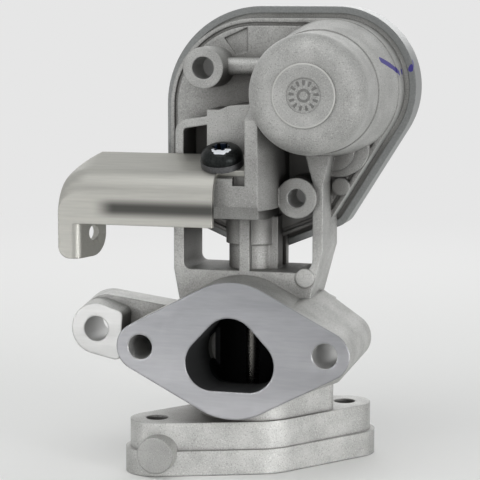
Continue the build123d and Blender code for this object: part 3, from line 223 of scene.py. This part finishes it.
def peened_skin(tree, place):
    """Colour of the blasted skin, and the grain that its bump follows.

    Two greys lie in patches of 9 mm. The grain is 0.45 mm, coarser than the real one so that it
    shows: its noise is dark pits where it is lowest and bright sparks where it is highest.
    """
    grain = add(tree, "TexNoise", {"Vector": place, "Scale": scale_for(0.45), "Detail": 2.0})
    patches = add(tree, "TexNoise", {"Vector": place, "Scale": scale_for(9), "Detail": 4.0})
    tone = add(tree, "MapRange", {0: patches, 1: 0.35, 2: 0.65})
    skin = add(tree, "Mix", {0: tone, 6: linear("#b0b0ae"), 7: linear("#c2c2c0")}, **COLOURS)
    pits_and_sparks = (0.42, 0.34, 0.45, "#7f7f7c"), (0.58, 0.66, 0.55, "#d6d6d3")
    for first, last, most, colour in pits_and_sparks:
        share = add(tree, "MapRange", {0: grain, 1: first, 2: last, 3: 0.0, 4: most})
        skin = add(tree, "Mix", {0: share, 6: skin, 7: linear(colour)}, **COLOURS)
    return skin, grain


def dimple_relief(tree, place, radius):
    """Height of the relief in the can's dimple, and 0 elsewhere.

    The ticks stand where the sine of their number times the angle round the can is high, in a
    ring 4.3 mm from its axis. With them go a hub ring at 1.9 mm and coarse pits of 1.1 mm.
    """
    middle = (CAN_X * MM, 0, CAN_Z * MM)
    centred = add(tree, "VectorMath", {0: place, 1: middle}, operation="SUBTRACT")
    x, _, z = add(tree, "SeparateXYZ", {0: centred}).node.outputs
    angle = add(tree, "Math", {0: z, 1: x}, operation="ARCTAN2")
    angle = add(tree, "Math", {0: angle, 1: TICKS}, operation="MULTIPLY")
    wave = add(tree, "Math", {0: angle}, operation="SINE")
    ticks = add(tree, "MapRange", {0: wave, 1: 0.1, 2: 0.5})
    ring = add(tree, "Math", {0: radius, 1: 4.3 * MM, 2: 0.9 * MM}, operation="COMPARE")
    hub = add(tree, "Math", {0: radius, 1: 1.9 * MM, 2: 0.45 * MM}, operation="COMPARE")
    relief = add(tree, "Math", {0: ticks, 1: ring, 2: hub}, operation="MULTIPLY_ADD")
    pits = add(tree, "TexNoise", {"Vector": place, "Scale": scale_for(1.1), "Detail": 1.0})
    relief = add(tree, "Math", {0: pits, 1: 1.2, 2: relief}, operation="MULTIPLY_ADD")
    inside = add(tree, "Math", {0: radius, 1: DIMPLE_R * MM}, operation="LESS_THAN")
    for mask in (within(tree, place, *DIMPLE), inside):
        relief = add(tree, "Math", {0: relief, 1: mask}, operation="MULTIPLY")
    return relief


def paint_corner_shade(tree, place, skin):
    """The skin with painted shade, darker in its corners and in the pocket below the motor can.

    Corners get painted shade by how closed in they are. The pocket below the motor can, between
    soft edges, gets painted shade by how closed in it is over a longer reach, and its middle by at
    least a fixed share.
    """
    # painted shade in the corners, by how closed in they are
    near = add(tree, "AmbientOcclusion", {"Distance": CORNER_REACH * MM}, **OPENNESS)
    near = add(tree, "MapRange", {0: near, 1: 0.12, 2: 0.76})
    skin = add(tree, "Mix", {0: near, 6: linear("#686663"), 7: skin}, **COLOURS)
    # painted shade in the pocket below the motor can
    pocket = add(tree, "AmbientOcclusion", {"Distance": POCKET_REACH * MM}, **OPENNESS)
    pocket = add(tree, "MapRange", {0: pocket, 1: 0.85, 2: 0.35})
    x, z = [add(tree, "SeparateXYZ", {0: place}, out=axis) for axis in "XZ"]
    middle = fade(tree, POCKET_MIDDLE_SHADE, x, POCKET_SIDES)
    pocket = add(tree, "Math", {0: pocket, 1: middle}, operation="MAXIMUM")
    pocket = fade(tree, pocket, z, POCKET_ENDS)
    return add(tree, "Mix", {0: pocket, 6: skin, 7: linear("#6b6a68")}, **COLOURS)


def cutter_marks(tree, place):
    """Marks that the milling cutter leaves across a face, from 0 to 1.

    Three parts of level bands 9 mm high to one part of streaks 0.9 mm high, both drawn out along X.
    """
    level = add(tree, "Mapping", {"Vector": place, "Scale": (0.12, 1.0, 1.0)})
    bands = add(tree, "TexNoise", {"Vector": level, "Scale": scale_for(9), "Detail": 1.0})
    streaks = add(tree, "TexNoise", {"Vector": level, "Scale": scale_for(0.9), "Detail": 2.0})
    mark = add(tree, "Math", {0: bands, 1: 0.75}, operation="MULTIPLY")
    mark = add(tree, "Math", {0: streaks, 1: 0.25, 2: mark}, operation="MULTIPLY_ADD")
    return add(tree, "MapRange", {0: mark, 1: 0.35, 2: 0.65})


# Shot-blasted die-cast aluminium: light warm grey, matt, with a fine peened grain, and painted
# shade in its corners and in the pocket below the motor can. Its joint faces are milled in soft
# level bands, blue-grey on the inlet, with painted light that grows towards its lower edge, and
# light grey on the ear. The gas passage is painted dark as shade, and the walls of the drilled
# holes are bright: bare drilled metal, painted lighter still as light coming through the holes.
def cast_aluminium():
    material, tree, shader, place = new_material("shot_blasted_cast_aluminium")
    skin, grain = peened_skin(tree, place)
    radius = from_axis(tree, place, CAN_X, CAN_Z)
    relief = dimple_relief(tree, place, radius)
    sunk = add(tree, "MapRange", {0: relief, 1: 0.75, 2: 1.45, 3: 0.0, 4: 0.75})
    skin = add(tree, "Mix", {0: sunk, 6: skin, 7: linear("#797977")}, **COLOURS)
    # a painted highlight along the edge of the raised disc round the dimple
    edge = add(tree, "Math", {0: radius, 1: DISC_R * MM, 2: 0.3 * MM}, operation="COMPARE")
    edge = add(tree, "Math", {0: edge, 1: within(tree, place, *DISC)}, operation="MULTIPLY")
    skin = add(tree, "Mix", {0: edge, 6: skin, 7: linear("#d0d0cd")}, **COLOURS)
    # painted shade in the corners and in the pocket below the motor can
    skin = paint_corner_shade(tree, place, skin)
    on_pad = within(tree, place, *FOOT_PAD)
    on_pad = add(tree, "Math", {0: on_pad, 1: 0.35}, operation="MULTIPLY")
    skin = add(tree, "Mix", {0: on_pad, 6: skin, 7: linear("#7a7a78")}, **COLOURS)
    # milled faces; the inlet's has painted light, growing brighter from 70 mm high down to 26 mm
    mark = cutter_marks(tree, place)
    height = add(tree, "SeparateXYZ", {0: place}, out="Z")
    lower = add(tree, "MapRange", {0: height, 1: 70 * MM, 2: 26 * MM, 3: 0.0, 4: 0.6})
    marks_and_painted_light = add(tree, "Math", {0: mark, 1: 0.4, 2: lower}, operation="MULTIPLY_ADD")
    face = add(tree, "Mix", {0: marks_and_painted_light, 6: linear("#86878a"), 7: linear("#aeaeb1")}, **COLOURS)
    ear_face = add(tree, "Mix", {0: mark, 6: linear("#bdbdbc"), 7: linear("#cbcbca")}, **COLOURS)
    on_inlet = within(tree, place, *INLET_FACE)
    on_foot = within(tree, place, *FOOT_FACE)
    on_ear = within(tree, place, *EAR_FACE)
    milled = add(tree, "Math", {0: on_inlet, 1: on_foot}, operation="MAXIMUM")
    colour = add(tree, "Mix", {0: milled, 6: skin, 7: face}, **COLOURS)
    colour = add(tree, "Mix", {0: on_ear, 6: colour, 7: ear_face}, **COLOURS)
    milled = add(tree, "Math", {0: milled, 1: on_ear}, operation="MAXIMUM")
    # painted shade in the port, and darker painted shade in the chamber behind it, which is round
    # about Z
    flattened = add(tree, "VectorMath", {0: place, 1: (1, 1, 0)}, operation="MULTIPLY")
    from_stem = add(tree, "VectorMath", {0: flattened}, out="Value", operation="LENGTH")
    bored = add(tree, "Math", {0: from_stem, 1: PASSAGE_R * MM}, operation="LESS_THAN")
    chamber = within(tree, place, *CHAMBER)
    chamber = add(tree, "Math", {0: bored, 1: chamber}, operation="MULTIPLY")
    inside = within(tree, place, *PORT)
    inside = add(tree, "Math", {0: inside, 1: chamber}, operation="MAXIMUM")
    # the two greys of the painted shade in the port and the chamber
    dark = add(tree, "Mix", {0: chamber, 6: linear("#5c5d5e"), 7: linear("#333435")}, **COLOURS)
    colour = add(tree, "Mix", {0: inside, 6: colour, 7: dark}, **COLOURS)
    # the drilled walls are bare metal, and painted light coming through the holes makes them
    # brighter still
    for x, z, hole in DRILLED:
        aside = from_axis(tree, place, x, z)
        wall = add(tree, "Math", {0: aside, 1: (hole + 0.1) * MM}, operation="LESS_THAN")
        colour = add(tree, "Mix", {0: wall, 6: colour, 7: linear("#c4c4c3")}, **COLOURS)
    tree.links.new(colour, shader.inputs["Base Color"])
    shader.inputs["Metallic"].default_value = 1.0
    rough = add(tree, "Mix", {0: milled, 2: 0.62, 3: 0.42})
    tree.links.new(rough, shader.inputs["Roughness"])
    # cast edges are round, so the shading is taken over 0.9 mm; on it stand, one after another,
    # slow waves, the dimple's relief and the grain, which the milling has taken off
    rounded = add(tree, "Bevel", {"Radius": 0.9 * MM}, samples=EDGE_SAMPLES)
    waves = add(tree, "TexNoise", {"Vector": place, "Scale": scale_for(6), "Detail": 1.0})
    peened = add(tree, "Mix", {0: milled, 2: 0.5, 3: 0.04})
    normal = rounded
    for strength, deep, form in ((0.3, 0.4, waves), (1.0, 0.5, relief), (peened, 0.08, grain)):
        normal = add(
            tree, "Bump",
            {"Strength": strength, "Distance": deep * MM, "Height": form, "Normal": normal},
        )
    tree.links.new(normal, shader.inputs["Normal"])
    return material


# Sheet and bar metals: two close shades in streaks along the rolling or turning direction, and
# edges rounded by a fraction of a millimetre, which is what gives them their bright outline
def sheet_metal(name, dark, light, roughness, stretch=(1.0, 1.0, 1.0), edge=0.3):
    material, tree, shader, place = new_material(name)
    along = add(tree, "Mapping", {"Vector": place, "Scale": stretch})
    streaks = add(tree, "TexNoise", {"Vector": along, "Scale": scale_for(0.8), "Detail": 3.0})
    tone = add(tree, "MapRange", {0: streaks, 1: 0.3, 2: 0.7})
    colour = add(tree, "Mix", {0: tone, 6: linear(dark), 7: linear(light)}, **COLOURS)
    tree.links.new(colour, shader.inputs["Base Color"])
    shader.inputs["Metallic"].default_value = 1.0
    rough = add(
        tree, "MapRange", {0: streaks, 1: 0.2, 2: 0.8, 3: roughness - 0.04, 4: roughness + 0.04}
    )
    tree.links.new(rough, shader.inputs["Roughness"])
    rounded = add(tree, "Bevel", {"Radius": edge * MM}, samples=EDGE_SAMPLES)
    bump = add(
        tree, "Bump",
        {"Strength": 0.12, "Distance": 0.02 * MM, "Height": streaks, "Normal": rounded},
    )
    tree.links.new(bump, shader.inputs["Normal"])
    return material


# Plastic, rubber, carbon and ceramic: nearly even, clouded over 14 mm, with a fine moulded or
# pressed grain
def moulded(name, dark, light, roughness):
    material, tree, shader, place = new_material(name)
    cloud = add(tree, "TexNoise", {"Vector": place, "Scale": scale_for(14), "Detail": 2.0})
    fine = add(tree, "TexNoise", {"Vector": place, "Scale": scale_for(0.4), "Detail": 2.0})
    tone = add(tree, "MapRange", {0: cloud, 1: 0.3, 2: 0.7})
    colour = add(tree, "Mix", {0: tone, 6: linear(dark), 7: linear(light)}, **COLOURS)
    tree.links.new(colour, shader.inputs["Base Color"])
    shader.inputs["Roughness"].default_value = roughness
    shader.inputs["IOR"].default_value = 1.5
    rounded = add(tree, "Bevel", {"Radius": 0.4 * MM}, samples=EDGE_SAMPLES)
    bump = add(
        tree, "Bump",
        {"Strength": 0.25, "Distance": 0.04 * MM, "Height": fine, "Normal": rounded},
    )
    tree.links.new(bump, shader.inputs["Normal"])
    return material


def dress(node, finish):
    """Gives every material slot of a solid the same finish."""
    slots = frame["nodes"][node].data.materials
    for index in range(len(slots)):
        slots[index] = finish


# The finishes by the record's material slots
FINISH = {
    "cast_aluminium": cast_aluminium(),
    # folded rim under a thin coat of zinc: even mid grey, half matt, with a soft edge
    "crimp_steel": sheet_metal("zinc_plated_sheet", "#868888", "#969897", 0.42, edge=0.5),
    # rolled strip: warm silver, with the rolling streaks drawn out along X
    "stainless_sheet": sheet_metal(
        "cold_rolled_stainless_sheet", "#acaba6", "#b7b6b0", 0.48, (0.06, 1.0, 1.0), 0.6
    ),
    # turned and ground: smooth, with narrow highlights
    "machined_steel": sheet_metal("turned_steel", "#9c9c9b", "#b3b3b1", 0.28),
    # drawn wire: dark grey with a dull shine
    "spring_steel": sheet_metal("drawn_spring_wire", "#5c5d60", "#737477", 0.35),
    # baked flake coat: near black, half matt
    "black_steel": sheet_metal("black_zinc_flake_steel", "#1d1e1f", "#2a2b2b", 0.42),
    # moulded with glass fibre: black, half matt, a little uneven
    "black_plastic": moulded("glass_filled_black_plastic", "#161618", "#1e1e21", 0.5),
    # moulded without pigment: ivory, waxy
    "gear_plastic": moulded("natural_gear_plastic", "#d3ccb4", "#ded8c4", 0.45),
    # moulded: black and matt
    "rubber": moulded("moulded_rubber", "#151515", "#1d1d1d", 0.7),
    # pressed and sintered: brown, soft in its shine
    "bronze": sheet_metal("sintered_bronze", "#86602f", "#a1783f", 0.42),
    # stamped and tinned: pale yellow and bright
    "contact_brass": sheet_metal("tinned_brass", "#b7a06a", "#c9b57f", 0.28),
    # pressed and sintered: dark grey, matt, like stone
    "magnet": moulded("sintered_magnet", "#3a3a3c", "#464648", 0.55),
    # pressed: black with a faint sheen
    "carbon": moulded("pressed_carbon", "#1d1d1d", "#262626", 0.6),
    # green lacquer over the board: glossy
    "circuit_board": moulded("solder_resist", "#1c5a35", "#236b40", 0.35),
}
for entry in frame["record"]["subparts"]:
    dress(entry["node"], FINISH[entry["material_slot"]])


def dull_stem():
    """The stem is darker where it crosses the passage."""
    turned = FINISH["machined_steel"]
    tree = turned.node_tree
    in_passage = within(tree, add(tree, "TexCoord", out="Object"), *STEM_IN_GAS)
    cover(turned, in_passage, {"Base Color": linear("#6a6864")})


def paint_lip_reflection():
    """Across its lip, below the bend, the bracket has a dark band of painted reflection.

    The band fades by the distance from its middle height, and it fades out to the left. Only the
    front of the lip has it.
    """
    sheet = FINISH["stainless_sheet"]
    tree = sheet.node_tree
    x, y, z = add(tree, "SeparateXYZ", {0: add(tree, "TexCoord", out="Object")}).node.outputs
    away = add(tree, "Math", {0: z, 1: DARK_BAND_Z * MM}, operation="SUBTRACT")
    away = add(tree, "Math", {0: away}, operation="ABSOLUTE")
    band = add(
        tree, "MapRange", {0: away, 1: 0.6 * MM, 2: 4.2 * MM, 3: 0.9, 4: 0.0},
        interpolation_type="SMOOTHSTEP",
    )
    right = add(
        tree, "MapRange", {0: x, 1: -50 * MM, 2: -41 * MM}, interpolation_type="SMOOTHSTEP"
    )
    front = add(tree, "Math", {0: y, 1: LIP_FRONT * MM}, operation="LESS_THAN")
    for mask in (right, front):
        band = add(tree, "Math", {0: band, 1: mask}, operation="MULTIPLY")
    # the painted dark reflection across the lip
    cover(sheet, band, {"Base Color": linear("#393937")})


dull_stem()
# A pen has crossed the motor housing and dotted the rim
INK = "#3f3589"
paint(
    FINISH["cast_aluminium"],
    (
        ((48.2, -8.9, 147.5), (50.4, -2.0, 145.2), 2.3),
        ((50.4, -2.0, 145.2), (52.2, 4.4, 142.4), 2.0),
        ((52.2, 9.6, 142.6), (52.3, 10.2, 142.7), 2.2),
    ),
    INK, 0.5,
)
paint(FINISH["crimp_steel"], (((55.0, 12.2, 143.4), (55.6, 13.4, 146.0), 1.9),), INK, 0.5)
# a painted dark reflection across the bracket's lip
paint_lip_reflection()

# The bracket's screw: oiled black steel, half matt, with a blue-black socket and below it a dab of
# white check paint. Its washer is phosphated: dark grey and dull
screw_finish = sheet_metal("black_oiled_screw_steel", "#202222", "#323434", 0.38)
paint(screw_finish, (((-5.0, -24.6, 117.6), (-5.0, -23.9, 115.2), 5.2),), "#1b2638", 0.3)
paint(
    screw_finish,
    (
        ((-7.0, -27.4, 116.6), (-1.5, -27.2, 116.7), 1.5),
        ((-6.4, -28.2, 116.2), (-2.1, -28.0, 116.2), 1.8),
        ((-5.5, -29.2, 115.8), (-3.1, -29.1, 115.8), 1.9),
    ),
    "#e6e9ee", 0.45,
)
dress("bracket_screw", screw_finish)
dress("bracket_washer", sheet_metal("phosphated_washer_steel", "#58585a", "#6c6c6d", 0.45))


def merged_mesh(node):
    """A copy of a solid's mesh, and that copy as a bmesh with its loose triangles joined."""
    mesh = frame["nodes"][node].data.copy()
    shape = bmesh.new()
    shape.from_mesh(mesh)
    bmesh.ops.remove_doubles(shape, verts=shape.verts, dist=1e-6)
    return mesh, shape


def place_instead(name, mesh, node):
    """Puts a piece of the housing where a solid is."""
    piece = bpy.data.objects.new(name, mesh)
    bpy.context.scene.collection.objects.link(piece)
    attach(piece, "housing")
    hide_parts(node)
    return piece


def pressed_bracket():
    """The bent bracket with the drawn-down left end of its sheet.

    A copy of the solid's mesh, cut across into narrow strips near its left end. There the height
    drops by a quarter ellipse, DROP (1 - sqrt(1 - t^2)), where t runs from 0 to 1 over the drawn
    length, and the drop fades out from inside the bend down to the lip's edge.
    """
    mesh, shape = merged_mesh("bracket")
    for step in range(1, STRIPS):
        cut = (BRACKET_L + DRAWN * (step / STRIPS) ** CROWDING) * MM
        everything = shape.verts[:] + shape.edges[:] + shape.faces[:]
        bmesh.ops.bisect_plane(shape, geom=everything, plane_co=(cut, 0, 0), plane_no=(1, 0, 0))
    bmesh.ops.triangulate(shape, faces=shape.faces[:])
    shape.to_mesh(mesh)
    shape.free()
    points = np.empty(len(mesh.vertices) * 3, "f")
    mesh.vertices.foreach_get("co", points)
    points = points.reshape(-1, 3)
    share = np.clip((BRACKET_L + DRAWN - points[:, 0] / MM) / DRAWN, 0, 1)
    bent = np.clip((points[:, 2] / MM - LIP_Z) / FADE_H, 0, 1)
    points[:, 2] -= DROP * MM * (1 - np.sqrt(1 - share**2)) * bent
    mesh.vertices.foreach_set("co", points.ravel())
    mesh.update()
    place_instead("bracket_sheet", mesh, "bracket")


def shortening_spring():
    """The return spring: a copy of its solid's mesh, put as a piece of the housing where the solid
    is, with a mesh of its own.
    """
    mesh, shape = merged_mesh("return_spring")
    shape.to_mesh(mesh)
    shape.free()
    spring = place_instead("return_spring_coil", mesh, "return_spring")
    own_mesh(spring)


pressed_bracket()
shortening_spring()

PALE = linear("#e6e6e6")        # tone of the room, and of the floor far from the valve
FLOOR_REACH = 6.0               # metres each way
FLOOR_Z = -0.1 * MM             # just below the foot, so that the two faces don't lie in one plane


def backdrop_rays(tree):
    """1 for the rays that show the background as it is, from the camera or off gloss, else 0."""
    rays = add(tree, "LightPath").node.outputs
    shown = add(
        tree, "Math", {0: rays["Is Camera Ray"], 1: rays["Is Glossy Ray"]}, operation="MAXIMUM"
    )
    return add(tree, "Math", {0: shown, 1: rays["Is Transmission Ray"]}, operation="MAXIMUM")


def pale_room():
    """The world: a pale room, a little darker towards its ceiling, for the camera and for gloss.

    Matt surfaces get a plain grey level of light instead.
    """
    world = bpy.data.worlds.new("studio")
    bpy.context.scene.world = world
    world.use_nodes = True
    tree = world.node_tree
    height = add(tree, "SeparateXYZ", {0: add(tree, "TexCoord", out="Generated")}, out="Z")
    ceiling = add(tree, "MapRange", {0: height, 1: 0.15, 2: 0.8})
    room = add(tree, "Mix", {0: ceiling, 6: PALE, 7: linear("#e0e1e1")}, **COLOURS)
    light = {0: backdrop_rays(tree), 6: linear("#cbcccd"), 7: room}
    background = tree.nodes["Background"].inputs
    tree.links.new(add(tree, "Mix", light, **COLOURS), background["Color"])
    background["Strength"].default_value = 1.0


def pale_floor():
    """A pale matt board that keeps the shadow near the valve and runs out into the room's tone.

    The board gives way to the room's tone between 0.12 and 0.75 m from the origin, and only for
    the rays that show the background.
    """
    mesh = bpy.data.meshes.new("floor")
    corners = (-1, -1), (1, -1), (1, 1), (-1, 1)
    mesh.from_pydata(
        [(x * FLOOR_REACH, y * FLOOR_REACH, FLOOR_Z) for x, y in corners], [], [(0, 1, 2, 3)]
    )
    floor = bpy.data.objects.new("floor", mesh)
    bpy.context.scene.collection.objects.link(floor)
    finish, tree, shader, place = new_material("matt_white_board")
    shader.inputs["Base Color"].default_value = linear("#f0f0ee")
    shader.inputs["Roughness"].default_value = 0.9
    reached = add(tree, "VectorMath", {0: place}, out="Value", operation="LENGTH")
    share = add(tree, "MapRange", {0: reached, 1: 0.12, 2: 0.75}, interpolation_type="SMOOTHSTEP")
    share = add(tree, "Math", {0: share, 1: backdrop_rays(tree)}, operation="MULTIPLY")
    glow = add(tree, "Emission", {"Color": PALE, "Strength": 1.0})
    both = add(tree, "MixShader", {0: share, 1: shader.outputs[0], 2: glow})
    tree.links.new(both, tree.nodes["Material Output"].inputs["Surface"])
    mesh.materials.append(finish)


pale_room()
pale_floor()

LAMP_AIM = Vector((0, 0, 0.02))     # near the valve's foot


def softbox(name, place, width, height, power, spread):
    """A rectangular lamp that looks at LAMP_AIM; its grid holds the light to spread degrees."""
    lamp = bpy.data.lights.new(name, "AREA")
    lamp.shape = "RECTANGLE"
    lamp.size = width
    lamp.size_y = height
    lamp.energy = power
    lamp.spread = radians(spread)
    holder = bpy.data.objects.new(name, lamp)
    holder.location = place
    holder.rotation_euler = (LAMP_AIM - Vector(place)).to_track_quat("-Z", "Y").to_euler()
    bpy.context.scene.collection.objects.link(holder)


# Places and sizes in metres, power in watts: a narrow grid throws the same power much further
softbox("left_box", (-0.28, -0.50, 0.06), 0.2, 0.1, 0.017, 24)
softbox("right_box", (0.50, -0.35, 0.06), 0.2, 0.1, 0.062, 28)
softbox("top_box", (-0.1, -0.5, 1.1), 0.8, 0.8, 2.4, 180)
softbox("back_box", (-0.15, 0.80, 0.40), 0.8, 0.3, 1.6, 180)

# Camera: 15 degrees to the right and 7.8 above, with a long lens
AZIMUTH, ELEVATION = radians(15.0), radians(7.8)
AIM = Vector((-4.8 * MM, 0.0, 81.4 * MM))
DISTANCE = 0.690
backwards = Vector(
    (sin(AZIMUTH) * cos(ELEVATION), -cos(AZIMUTH) * cos(ELEVATION), sin(ELEVATION))
)
lens = bpy.data.cameras.new("camera")
lens.sensor_width = 36.0
lens.lens = 142.5
camera = bpy.data.objects.new("camera", lens)
camera.location = AIM + DISTANCE * backwards
camera.rotation_mode = "QUATERNION"
camera.rotation_quaternion = (-backwards).to_track_quat("-Z", "Y")
bpy.context.scene.collection.objects.link(camera)
bpy.context.scene.camera = camera
bpy.context.scene.view_settings.view_transform = "Standard"
